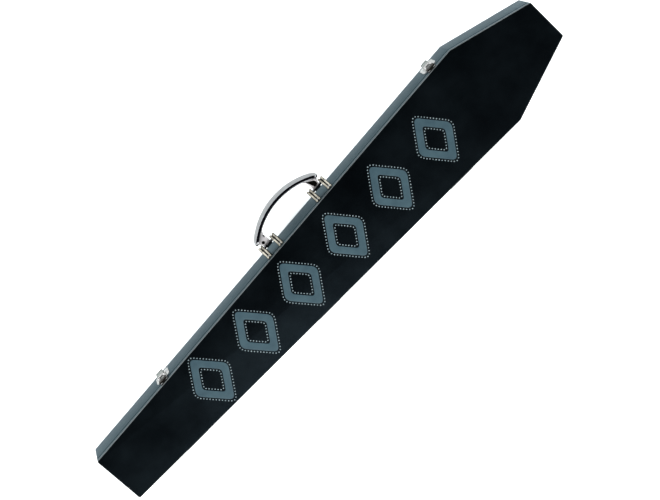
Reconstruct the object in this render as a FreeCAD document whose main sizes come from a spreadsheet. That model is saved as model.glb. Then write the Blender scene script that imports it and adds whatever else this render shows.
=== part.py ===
"""A hard cue case lying on its back: a six-sided box of thin boards in leatherette, with a shallow lid.

X runs along the case, from the narrow foot end to the head. Y points to the side with the latches and
the handle. Z points up, out of the lid. The origin is the middle of the back face, on the floor.
"""

import FreeCAD, Part
import os
import re

import Sketcher
from FreeCAD import Placement, Rotation, Vector

DOC = FreeCAD.newDocument("cue_case")

# Driving dimensions in millimetres. A station is a distance along a long wall from its foot corner.
SIZES = {
    # the six-sided outline of the covered case
    "case_length": 838.0,
    "foot_width": 77.6,
    "shoulder_width": 136.9,
    "head_width": 64.2,
    "shoulder_station": 718.1,
    "case_depth": 56.0,
    "lid_depth": 9.0,
    "seam_gap": 0.4,
    # boards and covering
    "cover_thick": 0.8,
    "rail_thick": 5.0,
    "board_thick": 3.0,
    # bed, lid pad and what they leave room for
    "bed_gap": 2.5,
    "bed_height": 28.0,
    "bed_floor": 4.0,
    "cue_length": 737.0,
    "cue_slack": 1.0,
    "butt_radius": 16.0,
    "joint_radius": 10.5,
    "tip_radius": 6.5,
    "channel_end_wall": 3.0,
    "channel_ease": 0.4,
    "shaft_foot_offset": 22.0,
    "shaft_head_offset": 36.0,
    "well_gap": 10.0,
    "well_length": 46.0,
    "well_width": 50.0,
    "well_depth": 20.0,
    "pad_gap": 0.4,
    # appliques on the lid
    "applique_thick": 0.4,
    "applique_first": 184.0,
    "applique_pitch": 87.4,
    "applique_length": 62.0,
    "applique_width": 84.0,
    "applique_band": 12.0,
    # draw latches: plate on the base, lever and hook on it, strike on the lid
    "foot_latch_station": 140.0,
    "head_latch_station": 685.8,
    "latch_sheet": 1.0,
    "latch_gap": 0.3,
    "plate_low": 9.0,
    "plate_high": 39.0,
    "wing_corner": 4.5,
    "wing_margin": 4.0,
    "wing_gap": 2.1,
    "wing_level": 23.0,
    "lever_width": 11.0,
    "lever_low": 18.0,
    "lever_lip": 0.6,
    "pivot_out": 3.4,
    "pivot_level": 36.0,
    "pivot_radius": 0.9,
    "pivot_proud": 0.1,
    "arm_radius": 2.1,
    "ear_radius": 1.8,
    "ear_thick": 1.2,
    "web_drop": 1.5,
    "link_out": 2.9,
    "link_drop": 6.5,
    "link_radius": 0.8,
    "link_proud": 0.4,
    "eye_radius": 1.6,
    "hook_bar": 1.6,
    "hook_plate_low": 43.5,
    "hook_gap": 0.2,
    "hook_reach": 1.1,
    "strike_thick": 0.8,
    "strike_ledge": 5.0,
    "strike_out": 2.6,
    "strike_rise": 1.6,
    "strike_margin": 0.6,
    "ledge_thick": 1.2,
    # butt hinges on the far long wall
    "foot_hinge_station": 110.0,
    "middle_hinge_station": 359.0,
    "head_hinge_station": 608.0,
    "hinge_width": 40.0,
    "hinge_thick": 0.8,
    "hinge_drop": 16.0,
    "hinge_rise": 7.2,
    "knuckle_radius": 1.8,
    "knuckle_share": 13.6,
    "knuckle_gap": 0.3,
    "hinge_pin_radius": 0.9,
    "hinge_screw_offset": 13.0,
    "hinge_screw_drop": 10.0,
    "hinge_screw_step": 4.0,
    "hinge_lid_screw_rise": 3.5,
    # handle, its four lugs and what holds them
    "handle_station": 418.0,
    "handle_level": 28.0,
    "handle_width": 24.0,
    "handle_thick": 5.4,
    "grip_end_gap": 1.0,
    "handle_radius": 103.0,
    "handle_half": 63.5,
    "leg_offset": 49.8,
    "leg_foot": 10.0,
    "leg_head": 14.4,
    "leg_depth": 16.0,
    "leg_end": 3.2,
    "lug_width": 7.6,
    "lug_spacing": 22.8,
    "lug_flange": 1.5,
    "lug_foot": 36.0,
    "lug_radius": 5.8,
    "pin_rise": 9.5,
    "pin_radius": 2.0,
    "rivet_offset": 14.0,
    "rivet_radius": 1.4,
    "rivet_head": 2.3,
    "rivet_crown": 1.4,
    "backing_thick": 1.0,
    # fasteners and fits
    "screw_radius": 1.0,
    "screw_head": 1.8,
    "screw_crown": 1.1,
    "head_height": 0.8,
    "screw_length": 4.8,
    "running": 0.05,
    # how far a cutting shape runs past the face that it opens
    "overshoot": 1.0,
}


def make_sheet():
    """The spreadsheet that holds every driving dimension under its own alias."""
    sheet = DOC.addObject("Spreadsheet::Sheet", "sizes")
    for row, (alias, value) in enumerate(SIZES.items(), start=1):
        sheet.set(f"A{row}", alias)
        sheet.set(f"B{row}", str(value))
        sheet.setAlias(f"B{row}", alias)
    DOC.recompute()
    return sheet


SHEET = make_sheet()


def formula(text):
    """A formula written with the sheet's aliases, as an expression that FreeCAD can read."""
    return re.sub(r"[a-z]+(?:_[a-z]+)+|running|overshoot", lambda word: "sizes." + word.group(), str(text))


def value_of(text):
    """What a formula comes to with the sheet's present numbers."""
    result = SHEET.evalExpression(formula(text))
    return float(getattr(result, "Value", result))


def bind(piece, prop, text):
    """Ties one property to a formula."""
    piece.setExpression(prop, formula(text))


# Formulas that several pieces share
WALL_SLOPE = "((shoulder_width - foot_width) / 2 / shoulder_station)"
WALL_ANGLE = f"atan({WALL_SLOPE})"
TAPER = "((shoulder_width - head_width) / 2 / (case_length - shoulder_station))"
SEAM = "(case_depth - lid_depth)"
BASE_TOP = f"({SEAM} - seam_gap / 2)"
LID_BOTTOM = f"({SEAM} + seam_gap / 2)"
BOARD_TOP = "(cover_thick + board_thick)"
LID_BOARD_BOTTOM = "(case_depth - cover_thick - board_thick)"
WOOD = "cover_thick"
INSIDE = "(cover_thick + rail_thick)"


def corners(inset):
    """The outline moved inwards by inset: foot, shoulder and head corners as (x, half width)."""
    side = f"sqrt(1 + {WALL_SLOPE}^2)"
    end = f"sqrt(1 + {TAPER}^2)"
    shift = f"({inset} * ({side} - {end}) / ({WALL_SLOPE} + {TAPER}))"
    foot = (f"{inset} - case_length / 2", f"foot_width / 2 + {inset} * ({WALL_SLOPE} - {side})")
    shoulder = (
        f"shoulder_station - case_length / 2 + {shift}",
        f"shoulder_width / 2 + {WALL_SLOPE} * {shift} - {inset} * {side}",
    )
    head = (f"case_length / 2 - {inset}", f"head_width / 2 + {inset} * ({TAPER} - {end})")
    return foot, shoulder, head


def outline(inset):
    """The six corners in order, anticlockwise from the foot corner on the hinge side."""
    near = [(x, f"-({y})") for x, y in corners(inset)]
    far = list(reversed(corners(inset)))
    return near + far


def draw_polygon(sketch, points):
    """Adds a closed polygon whose corners are all held by formulas."""
    places = [Vector(value_of(x), value_of(y), 0) for x, y in points]
    first = sketch.GeometryCount
    count = len(places)
    for i in range(count):
        sketch.addGeometry(Part.LineSegment(places[i], places[(i + 1) % count]))
    for i in range(count):
        joint = Sketcher.Constraint("Coincident", first + i, 2, first + (i + 1) % count, 1)
        sketch.addConstraint(joint)
    for i, (point, place) in enumerate(zip(points, places)):
        for kind, text, number in zip(("DistanceX", "DistanceY"), point, place[:2]):
            index = sketch.addConstraint(Sketcher.Constraint(kind, -1, 1, first + i, 1, number))
            bind(sketch, f"Constraints[{index}]", text)


def board(label, loops, bottom, height):
    """A flat piece padded up from a sketch of one or two closed polygons."""
    body = DOC.addObject("PartDesign::Body", label)
    sketch = body.newObject("Sketcher::SketchObject", label + "_sketch")
    floor = next(f for f in body.Origin.OriginFeatures if f.Role == "XY_Plane")
    sketch.AttachmentSupport = [(floor, "")]
    sketch.MapMode = "FlatFace"
    for points in loops:
        draw_polygon(sketch, points)
    pad = body.newObject("PartDesign::Pad", label + "_pad")
    pad.Profile = sketch
    bind(pad, "Length", height)
    bind(body, "Placement.Base.z", bottom)
    return body


def place(piece, where, turn=None):
    """Puts a piece at three formulas, with a fixed turn."""
    if turn:
        piece.Placement = Placement(Vector(), turn)
    for axis, text in zip("xyz", where):
        bind(piece, f"Placement.Base.{axis}", text)
    return piece


def box(label, low, size):
    """A block from its lowest corner and its three sizes."""
    piece = DOC.addObject("Part::Box", label)
    for prop, text in zip(("Length", "Width", "Height"), size):
        bind(piece, prop, text)
    return place(piece, low)


def centred_box(label, width, y, depth, z, height):
    """A block across the middle of its own frame, which is width wide along X."""
    return box(label, (f"-({width}) / 2", y, z), (width, depth, height))


TURNS = {"x": Rotation(Vector(0, 1, 0), 90), "y": Rotation(Vector(1, 0, 0), -90), "z": None}


def rod(label, axis, start, radius, length):
    """A round bar that runs from start along +X, +Y or +Z."""
    piece = DOC.addObject("Part::Cylinder", label)
    bind(piece, "Radius", radius)
    bind(piece, "Height", length)
    return place(piece, start, TURNS[axis])


def cone(label, axis, start, radii, length):
    """A round bar that tapers from its first radius to its second."""
    piece = DOC.addObject("Part::Cone", label)
    bind(piece, "Radius1", radii[0])
    bind(piece, "Radius2", radii[1])
    bind(piece, "Height", length)
    return place(piece, start, TURNS[axis])


def fuse(label, pieces):
    """One solid out of several that overlap."""
    result = DOC.addObject("Part::MultiFuse", label)
    result.Shapes = pieces
    result.Refine = True
    return result


def group(label, pieces):
    """Separate solids kept together, such as a set of like screws."""
    result = DOC.addObject("Part::Compound", label)
    result.Links = pieces
    return result


def cut(label, piece, tools):
    """A piece with every tool's shape taken out of it."""
    result = DOC.addObject("Part::Cut", label)
    result.Base = piece
    result.Tool = tools[0] if len(tools) == 1 else group(label + "_tools", tools)
    return result


def seat(piece, side, station):
    """Stands a piece, made with X along a wall and Y out of it, at a station on a long wall."""
    along = f"({station}) * cos({WALL_ANGLE}) - case_length / 2"
    across = f"foot_width / 2 + ({station}) * sin({WALL_ANGLE})"
    turn = WALL_ANGLE
    if side == "hinge":
        across, turn = f"-({across})", f"180 deg - {WALL_ANGLE}"
    piece.Placement = Placement(Vector(), Rotation(Vector(0, 0, 1), value_of(turn)))
    bind(piece, "Placement.Rotation.Angle", turn)
    return place(piece, (along, across, "0"))


def flat_screw(label, x, z, base, length):
    """A small wood screw that points into the wall, its head's underside at the height base."""
    head = cone(label + "_head", "y", (x, base, z), ("screw_head", "screw_crown"), "head_height")
    shank = rod(label + "_shank", "y", (x, f"{base} - ({length})", z), "screw_radius", length)
    return fuse(label, [head, shank])


# ---------------------------------------------------------------- latches
LATCHES = {"foot": "foot_latch_station", "head": "head_latch_station"}
WING_OFFSET = "(lever_width / 2 + wing_gap)"
EAR_INNER = "(lever_width / 2 - latch_sheet - latch_gap - ear_thick)"
LEVER_FRONT = "(pivot_out + arm_radius + latch_sheet)"
LEVER_BACK = "(pivot_out - arm_radius)"
WEB_TOP = "(pivot_level - web_drop)"
LINK_LEVEL = "(pivot_level - link_drop)"
HOOK_WIDTH = "(lever_width + 2 * latch_gap + 2 * latch_sheet)"
HOOK_BACK = "(strike_out + hook_gap)"
LEDGE_TOP = f"({LID_BOTTOM} + strike_rise + ledge_thick)"
HOOK_TIP = f"({LEDGE_TOP} + latch_gap)"


def latch_screws(name):
    """The two screws through a latch plate's wings."""
    pair = [
        flat_screw(
            f"{name}_latch_screw_{i}", f"{sign} * {WING_OFFSET}", "wing_level", "latch_sheet", "screw_length",
        )
        for i, sign in enumerate((-1, 1))
    ]
    return seat(group(f"{name}_latch_screw_pair", pair), "latch", LATCHES[name])


def latch_pivots(name):
    """The two short rivets that the lever turns on, one through each ear."""
    length = f"(lever_width / 2 + 2 * pivot_proud - {EAR_INNER})"
    starts = ("-(lever_width / 2 + pivot_proud)", f"{EAR_INNER} - pivot_proud")
    rivets = [
        rod(f"{name}_pivot_{i}", "x", (x, "pivot_out", "pivot_level"), "pivot_radius", length)
        for i, x in enumerate(starts)
    ]
    return seat(group(f"{name}_latch_pivots", rivets), "latch", LATCHES[name])


def latch_plate(name, screws, pivots):
    """The sheet plate on the base, round at its corners, with two ears for the lever."""
    label = f"{name}_latch_plate"
    height = "plate_high - plate_low"
    corner_x = f"({WING_OFFSET} + wing_margin - wing_corner)"
    pieces = [
        centred_box(label + "_strip", f"2 * {corner_x}", 0, "latch_sheet", "plate_low", height),
        centred_box(
            label + "_wings", f"2 * ({WING_OFFSET} + wing_margin)", 0, "latch_sheet",
            "plate_low + wing_corner", f"{height} - 2 * wing_corner",
        ),
    ]
    for i, sign in enumerate((-1, 1)):
        for side, level in (("low", "plate_low + wing_corner"), ("high", "plate_high - wing_corner")):
            corner = (f"{sign} * {corner_x}", 0, level)
            pieces.append(rod(f"{label}_corner_{side}_{i}", "y", corner, "wing_corner", "latch_sheet"))
        x = EAR_INNER if sign > 0 else f"-{EAR_INNER} - ear_thick"
        ear = (x, 0, "pivot_level - ear_radius")
        size = ("ear_thick", "pivot_out", "2 * ear_radius")
        pieces.append(box(f"{label}_ear_{i}", ear, size))
        top = (x, "pivot_out", "pivot_level")
        pieces.append(rod(f"{label}_ear_top_{i}", "x", top, "ear_radius", "ear_thick"))
    blank = seat(fuse(label + "_blank", pieces), "latch", LATCHES[name])
    return cut(label, blank, [screws, pivots])


def latch_lever(name):
    """The lever, a channel with two arms on the pivots and a finger lip at its free end."""
    label = f"{name}_latch_lever"
    depth = f"{LEVER_FRONT} - {LEVER_BACK}"
    height = f"{WEB_TOP} - lever_low"
    eyes = ("-lever_width / 2", "pivot_out", "pivot_level")
    solid = [
        centred_box(label + "_block", "lever_width", LEVER_BACK, depth, "lever_low", height),
        centred_box(label + "_arms", "lever_width", LEVER_BACK, "2 * arm_radius", WEB_TOP, "web_drop"),
        rod(label + "_eyes", "x", eyes, "arm_radius", "lever_width"),
        centred_box(
            label + "_lip", "lever_width", f"{LEVER_FRONT} - latch_sheet", "latch_sheet + lever_lip",
            "lever_low - latch_sheet", "latch_sheet",
        ),
    ]
    inner = "(lever_width - 2 * latch_sheet)"
    hollow = centred_box(
        label + "_hollow", inner, 0, f"{LEVER_FRONT} - latch_sheet", "lever_low", "pivot_level",
    )
    across = "2 * lever_width"
    pivot = ("-lever_width", "pivot_out", "pivot_level")
    link = ("-lever_width", "link_out", LINK_LEVEL)
    holes = [
        rod(label + "_bore", "x", pivot, "pivot_radius + running", across),
        rod(label + "_link_bore", "x", link, "link_radius", across),
    ]
    piece = cut(label, fuse(label + "_blank", solid), [hollow] + holes)
    return seat(piece, "latch", LATCHES[name])


def link_pin(name):
    """The pin that carries the hook on the lever."""
    length = f"({HOOK_WIDTH} + 2 * link_proud)"
    start = (f"-{length} / 2", "link_out", LINK_LEVEL)
    pin = rod(f"{name}_link_pin_rod", "x", start, "link_radius", length)
    return seat(group(f"{name}_latch_link_pin", [pin]), "latch", LATCHES[name])


def latch_hook(name):
    """The hook: two legs on the link pin and a plate whose end turns in over the strike's ledge."""
    label = f"{name}_latch_hook"
    half = f"{HOOK_WIDTH} / 2"
    solid = [
        rod(label + "_eyes", "x", (f"-{half}", "link_out", LINK_LEVEL), "eye_radius", HOOK_WIDTH),
        centred_box(
            label + "_legs", HOOK_WIDTH, "link_out - hook_bar / 2", "hook_bar",
            LINK_LEVEL, f"hook_plate_low + latch_sheet - {LINK_LEVEL}",
        ),
    ]
    window = centred_box(
        label + "_window", "lever_width + 2 * latch_gap", 0, "link_out + 2 * eye_radius",
        f"{LINK_LEVEL} - 2 * eye_radius", f"hook_plate_low - {LINK_LEVEL} + 2 * eye_radius",
    )
    start = (f"-{HOOK_WIDTH}", "link_out", LINK_LEVEL)
    bore = rod(label + "_bore", "x", start, "link_radius + running", f"2 * {HOOK_WIDTH}")
    legs = cut(label + "_legs_cut", fuse(label + "_legs_blank", solid), [window, bore])
    plate = centred_box(
        label + "_plate", HOOK_WIDTH, HOOK_BACK, "latch_sheet",
        "hook_plate_low", f"{HOOK_TIP} + latch_sheet - hook_plate_low",
    )
    tip = centred_box(
        label + "_tip", HOOK_WIDTH, f"{HOOK_BACK} - hook_reach", "hook_reach + latch_sheet",
        HOOK_TIP, "latch_sheet",
    )
    return seat(fuse(label, [legs, plate, tip]), "latch", LATCHES[name])


def strike_screws(name):
    """The two screws that hold a strike to the lid's rim, one each side of its ledge."""
    level = f"{LID_BOTTOM} + rail_thick / 2"
    offset = "(strike_ledge / 2 + screw_head + latch_gap)"
    pair = [
        flat_screw(f"{name}_strike_screw_{i}", f"{sign} * {offset}", level, "strike_thick", "screw_length")
        for i, sign in enumerate((-1, 1))
    ]
    return seat(group(f"{name}_strike_screw_pair", pair), "latch", LATCHES[name])


def strike(name, screws):
    """The plate on the lid's rim with the ledge that the hook pulls down on."""
    label = f"{name}_latch_strike"
    low = f"({LID_BOTTOM} + strike_margin)"
    plate = centred_box(label + "_plate", HOOK_WIDTH, 0, "strike_thick", low, "rail_thick - strike_margin")
    shelf = f"{LEDGE_TOP} - ledge_thick"
    ledge = centred_box(label + "_ledge", "strike_ledge", 0, "strike_out", shelf, "ledge_thick")
    blank = seat(fuse(label + "_blank", [plate, ledge]), "latch", LATCHES[name])
    return cut(label, blank, [screws])


# ---------------------------------------------------------------- hinges
HINGES = {name: f"{name}_hinge_station" for name in ("foot", "middle", "head")}
LEAVES = ("base", "lid")
PIN_OUT = "hinge_thick"
CLEAR = "(knuckle_radius + knuckle_gap)"


def hinge_pin(name):
    """The pin that both leaves turn on."""
    start = ("-hinge_width / 2", PIN_OUT, SEAM)
    pin = rod(f"{name}_hinge_pin_rod", "x", start, "hinge_pin_radius", "hinge_width")
    return seat(group(f"{name}_hinge_pin", [pin]), "hinge", HINGES[name])


def hinge_relief(name):
    """The round room for the knuckles in the edges of base and lid."""
    start = ("-hinge_width / 2 - knuckle_gap", PIN_OUT, SEAM)
    room = rod(f"{name}_hinge_relief_rod", "x", start, CLEAR, "hinge_width + 2 * knuckle_gap")
    return seat(group(f"{name}_hinge_relief", [room]), "hinge", HINGES[name])


def hinge_screws(name, leaf):
    """Three screws in the base leaf, or two in the shallow lid leaf."""
    low = f"{SEAM} - hinge_screw_drop"
    ends = [f"{sign} * hinge_screw_offset" for sign in (-1, 1)]
    spots = {
        "base": [(x, low) for x in ends] + [("0", f"{low} + hinge_screw_step")],
        "lid": [(x, f"{LID_BOTTOM} + hinge_lid_screw_rise") for x in ends],
    }[leaf]
    screws = [
        flat_screw(f"{name}_{leaf}_leaf_screw_{i}", x, z, "hinge_thick", "screw_length")
        for i, (x, z) in enumerate(spots)
    ]
    return seat(group(f"{name}_{leaf}_leaf_screws", screws), "hinge", HINGES[name])


def hinge_leaf(name, leaf, screws, pin):
    """A leaf with its knuckles: two outer ones on the base leaf, the middle one on the lid leaf."""
    label = f"{name}_hinge_{leaf}_leaf"
    if leaf == "base":
        low = f"{SEAM} - hinge_drop"
        plate = ("hinge_width", low, f"hinge_drop - {CLEAR}")
        side = "((hinge_width - knuckle_share) / 2)"
        spans = [("-hinge_width / 2", side), ("knuckle_share / 2", side)]
        neck = (f"{SEAM} - {CLEAR}", CLEAR)
        bore = "hinge_pin_radius"
    else:
        plate = ("hinge_width", f"{SEAM} + {CLEAR}", f"hinge_rise - {CLEAR}")
        spans = [("knuckle_gap - knuckle_share / 2", "knuckle_share - 2 * knuckle_gap")]
        neck = (SEAM, CLEAR)
        bore = "hinge_pin_radius + running"
    pieces = [centred_box(label + "_plate", plate[0], 0, "hinge_thick", plate[1], plate[2])]
    for i, (x, width) in enumerate(spans):
        pieces.append(box(f"{label}_neck_{i}", (x, 0, neck[0]), (width, "hinge_thick", neck[1])))
        pieces.append(rod(f"{label}_knuckle_{i}", "x", (x, PIN_OUT, SEAM), "knuckle_radius", width))
    hole = rod(label + "_bore", "x", ("-hinge_width", PIN_OUT, SEAM), bore, "2 * hinge_width")
    blank = cut(label + "_blank", fuse(label + "_solid", pieces), [hole])
    return cut(label, seat(blank, "hinge", HINGES[name]), [screws])


# ---------------------------------------------------------------- handle
LUGS = {"foot_outer": (-1, 1), "foot_inner": (-1, -1), "head_inner": (1, -1), "head_outer": (1, 1)}
LUG_LOW = "(handle_level - lug_foot / 2)"
ARC_DROP = "(handle_radius - sqrt((handle_radius - handle_thick)^2 - handle_half^2))"
HANDLE_RISE = f"(pin_rise + lug_radius + grip_end_gap + {ARC_DROP})"


def lug_middle(name):
    """Where a lug's middle is along the wall, from the middle of the handle."""
    end, outward = LUGS[name]
    return f"({end} * (leg_offset + {outward} * lug_spacing / 2))"


def handle_rivets():
    """Eight rivets, two through each lug's foot, the wall and the backing plate behind it."""
    rivets = []
    shank = "(lug_flange + cover_thick + rail_thick + backing_thick + head_height)"
    for name in LUGS:
        for i, sign in enumerate((-1, 1)):
            x = lug_middle(name)
            z = f"handle_level + {sign} * rivet_offset"
            label = f"rivet_{name}_{i}"
            radii = ("rivet_head", "rivet_crown")
            head = cone(label + "_head", "y", (x, "lug_flange", z), radii, "head_height")
            body = rod(label + "_shank", "y", (x, f"lug_flange - {shank}", z), "rivet_radius", shank)
            tail = rod(label + "_tail", "y", (x, f"lug_flange - {shank}", z), "rivet_head", "head_height")
            rivets.append(fuse(label, [head, body, tail]))
    return seat(group("handle_rivets", rivets), "latch", "handle_station")


def handle_lug(name, rivets, pins):
    """A lug: a long foot on the wall and a round-topped post that holds one end of a pin."""
    label = f"handle_lug_{name}"
    low = f"{lug_middle(name)} - lug_width / 2"
    back = "handle_level - lug_radius"
    pieces = [
        box(label + "_foot", (low, 0, LUG_LOW), ("lug_width", "lug_flange", "lug_foot")),
        box(label + "_post", (low, 0, back), ("lug_width", "pin_rise", "2 * lug_radius")),
        rod(label + "_top", "x", (low, "pin_rise", "handle_level"), "lug_radius", "lug_width"),
    ]
    blank = seat(fuse(label + "_blank", pieces), "latch", "handle_station")
    return cut(label, blank, [rivets, pins])


def handle_pin(end, sign):
    """The pin through a pair of lugs and the leg between them."""
    length = "(lug_spacing + lug_width)"
    start = (f"{sign} * leg_offset - {length} / 2", "pin_rise", "handle_level")
    pin = rod(f"{end}_handle_pin_rod", "x", start, "pin_radius", length)
    return seat(group(f"{end}_handle_pin", [pin]), "latch", "handle_station")


def backing_plate(end, sign, rivets):
    """The steel plate inside the wall that spreads the load of a pair of lugs."""
    label = f"{end}_handle_backing_plate"
    width = "(lug_spacing + lug_width)"
    low = (f"{sign} * leg_offset - {width} / 2", f"-{INSIDE} - backing_thick", LUG_LOW)
    sheet = box(label + "_sheet", low, (width, "backing_thick", "lug_foot"))
    return cut(label, seat(group(label + "_blank", [sheet]), "latch", "handle_station"), [rivets])


def leg(label, sign):
    """One leg of the grip: a block that widens from round the pin up to the strap."""
    middle = f"{sign} * leg_offset"
    right = [
        (f"{middle} + leg_foot / 2", "pin_rise - leg_end"),
        (f"{middle} + leg_head / 2", "pin_rise + lug_radius"),
        (f"{middle} + leg_head / 2", HANDLE_RISE),
    ]
    points = right + [(x.replace("+", "-"), y) for x, y in reversed(right)]
    return board(label, [points], "handle_level - leg_depth / 2", "leg_depth")


def handle_grip():
    """The arched strap with its two legs, bored for the pins."""
    back = "handle_level - handle_width / 2"
    centre = ("0", f"{HANDLE_RISE} - handle_radius", back)
    disc = rod("grip_disc", "z", centre, "handle_radius", "handle_width")
    core = rod("grip_core", "z", centre, "handle_radius - handle_thick", "handle_width")
    size = ("2 * handle_half", f"2 * {HANDLE_RISE}", "handle_width")
    reach = box("grip_reach", ("-handle_half", 0, back), size)
    slab = DOC.addObject("Part::Common", "grip_slab")
    slab.Base = cut("grip_ring", disc, [core])
    slab.Tool = reach
    legs = DOC.addObject("Part::Common", "grip_legs")
    legs.Base = group("grip_leg_pair", [leg("grip_leg_foot", -1), leg("grip_leg_head", 1)])
    legs.Tool = rod("grip_leg_disc", "z", centre, "handle_radius - handle_thick / 2", "handle_width")
    start = ("-handle_half", "pin_rise", "handle_level")
    bore = rod("grip_bore", "x", start, "pin_radius + running", "2 * handle_half")
    piece = cut("handle_grip", fuse("handle_grip_blank", [slab, legs]), [bore])
    return seat(piece, "latch", "handle_station")


# ---------------------------------------------------------------- boards and covers
SIDES = ("hinge_rail", "hinge_shoulder_rail", "head_rail", "latch_shoulder_rail", "latch_rail", "foot_rail")


def rails(prefix, bottom, height, tools):
    """Six mitred rails between the wood's outline and the inside; tools are cut from those that they meet."""
    outer = outline(WOOD)
    inner = outline(INSIDE)
    made = []
    for i, side in enumerate(SIDES):
        j = (i + 1) % len(SIDES)
        label = f"{prefix}_{side}"
        points = [outer[i], outer[j], inner[j], inner[i]]
        if side in tools:
            blank = board(label + "_blank", [points], bottom, height)
            made.append(cut(label, blank, tools[side]))
        else:
            made.append(board(label, [points], bottom, height))
    return made


def side_cover(prefix, bottom, top, tools):
    """The band of leatherette round the outside of the rails."""
    loops = [outline("0"), outline(WOOD)]
    blank = board(f"{prefix}_side_cover_blank", loops, bottom, f"{top} - {bottom}")
    return cut(f"{prefix}_side_cover", blank, tools)


def cue_bed():
    """The plush-faced foam bed with three tapered channels and a well for small things."""
    bed = board("cue_bed_blank", [outline(f"({INSIDE} + bed_gap)")], BOARD_TOP, "bed_height")
    start = f"({INSIDE} + bed_gap + channel_end_wall - case_length / 2)"
    length = "(cue_length + 2 * cue_slack)"
    level = f"({BOARD_TOP} + bed_floor + butt_radius + cue_slack)"
    rise = f"({BOARD_TOP} + bed_height - {level} + overshoot)"
    layout = {
        "butt": (("0", "joint_radius"), ("0", "butt_radius")),
        "latch_side_shaft": (("shaft_foot_offset", "tip_radius"), ("shaft_head_offset", "joint_radius")),
        "hinge_side_shaft": (("-shaft_foot_offset", "tip_radius"), ("-shaft_head_offset", "joint_radius")),
    }
    tools = []
    for name, ((foot_y, foot_r), (head_y, head_r)) in layout.items():
        run = f"sqrt({length}^2 + (({head_y}) - ({foot_y}))^2)"
        radii = (f"{foot_r} + cue_slack", f"{head_r} + cue_slack")
        groove = cone(f"channel_{name}", "x", (start, foot_y, level), radii, run)
        turn = Rotation(Vector(0, 1, 0), 90)
        lean = value_of(f"atan((({head_y}) - ({foot_y})) / {length})")
        groove.Placement = Placement(groove.Placement.Base, Rotation(Vector(0, 0, 1), lean) * turn)
        near = f"{start} - channel_ease"
        far = f"{start} + {length} + channel_ease"
        sides = [
            (near, f"{foot_y} - ({radii[0]} + channel_ease)"),
            (far, f"{head_y} - ({radii[1]} + channel_ease)"),
            (far, f"{head_y} + ({radii[1]} + channel_ease)"),
            (near, f"{foot_y} + ({radii[0]} + channel_ease)"),
        ]
        tools += [groove, board(f"mouth_{name}", [sides], level, rise)]
    well = (f"{start} + {length} + well_gap", "-well_width / 2", f"{BOARD_TOP} + bed_height - well_depth")
    tools.append(box("accessory_well", well, ("well_length", "well_width", "well_depth + overshoot")))
    return cut("cue_bed", bed, [fuse("bed_rooms", tools)])


APPLIQUE_COUNT = 6


def diamond(i, share):
    """The four corners of a diamond, at a share of its full size, at one place in the row."""
    x = f"(applique_first + {i} * applique_pitch - case_length / 2)"
    length = f"({share}) * applique_length / 2"
    width = f"({share}) * applique_width / 2"
    return [(x, f"-{width}"), (f"{x} + {length}", "0"), (x, width), (f"{x} - {length}", "0")]


def appliques():
    """Six diamond rings in a row down the lid."""
    hole = "1 - 2 * applique_band / applique_length"
    rings = [[diamond(i, "1"), diamond(i, hole)] for i in range(APPLIQUE_COUNT)]
    made = [board(f"applique_{i}", ring, "case_depth", "applique_thick") for i, ring in enumerate(rings)]
    return group("lid_appliques", made)


def build():
    """Makes every sub-part and returns those that are kept."""
    kept = []
    latch_fixings = {name: latch_screws(name) for name in LATCHES}
    strike_fixings = {name: strike_screws(name) for name in LATCHES}
    for name in LATCHES:
        pivots = latch_pivots(name)
        kept += [pivots, latch_plate(name, latch_fixings[name], pivots), latch_lever(name)]
        kept += [link_pin(name), latch_hook(name), strike(name, strike_fixings[name])]
    kept.append(group("latch_screws", list(latch_fixings.values())))
    kept.append(group("strike_screws", list(strike_fixings.values())))

    reliefs = [hinge_relief(name) for name in HINGES]
    leaf_screws = {leaf: {name: hinge_screws(name, leaf) for name in HINGES} for leaf in LEAVES}
    for name in HINGES:
        pin = hinge_pin(name)
        kept.append(pin)
        kept += [hinge_leaf(name, leaf, leaf_screws[leaf][name], pin) for leaf in LEAVES]
    screw_sets = {leaf: group(f"hinge_{leaf}_screws", list(leaf_screws[leaf].values())) for leaf in LEAVES}
    kept += list(screw_sets.values())

    rivets = handle_rivets()
    pins = {end: handle_pin(end, sign) for end, sign in (("foot", -1), ("head", 1))}
    kept += [rivets, *pins.values(), handle_grip()]
    for name in LUGS:
        kept.append(handle_lug(name, rivets, pins[name.split("_")[0]]))
    for end, sign in (("foot", -1), ("head", 1)):
        kept.append(backing_plate(end, sign, rivets))

    latch_set = kept_by(kept, "latch_screws")
    strike_set = kept_by(kept, "strike_screws")
    base_tools = {"latch_rail": [latch_set, rivets], "hinge_rail": [screw_sets["base"], *reliefs]}
    lid_tools = {"latch_rail": [strike_set], "hinge_rail": [screw_sets["lid"], *reliefs]}
    kept += rails("base", BOARD_TOP, f"{BASE_TOP} - {BOARD_TOP}", base_tools)
    kept += rails("lid", LID_BOTTOM, f"{LID_BOARD_BOTTOM} - {LID_BOTTOM}", lid_tools)
    base_holes = [latch_set, rivets, screw_sets["base"], *reliefs]
    lid_holes = [strike_set, screw_sets["lid"], *reliefs]
    kept.append(side_cover("base", "cover_thick", BASE_TOP, base_holes))
    kept.append(side_cover("lid", LID_BOTTOM, "(case_depth - cover_thick)", lid_holes))
    kept.append(board("base_back_board", [outline(WOOD)], "cover_thick", "board_thick"))
    kept.append(board("base_back_cover", [outline("0")], "0", "cover_thick"))
    kept.append(board("lid_board", [outline(WOOD)], LID_BOARD_BOTTOM, "board_thick"))
    kept.append(board("lid_front_cover", [outline("0")], "case_depth - cover_thick", "cover_thick"))
    pad = f"{LID_BOARD_BOTTOM} - {LID_BOTTOM} - pad_gap"
    kept.append(board("lid_pad", [outline(f"({INSIDE} + pad_gap)")], f"{LID_BOTTOM} + pad_gap", pad))
    kept += [cue_bed(), appliques()]
    return kept


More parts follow.
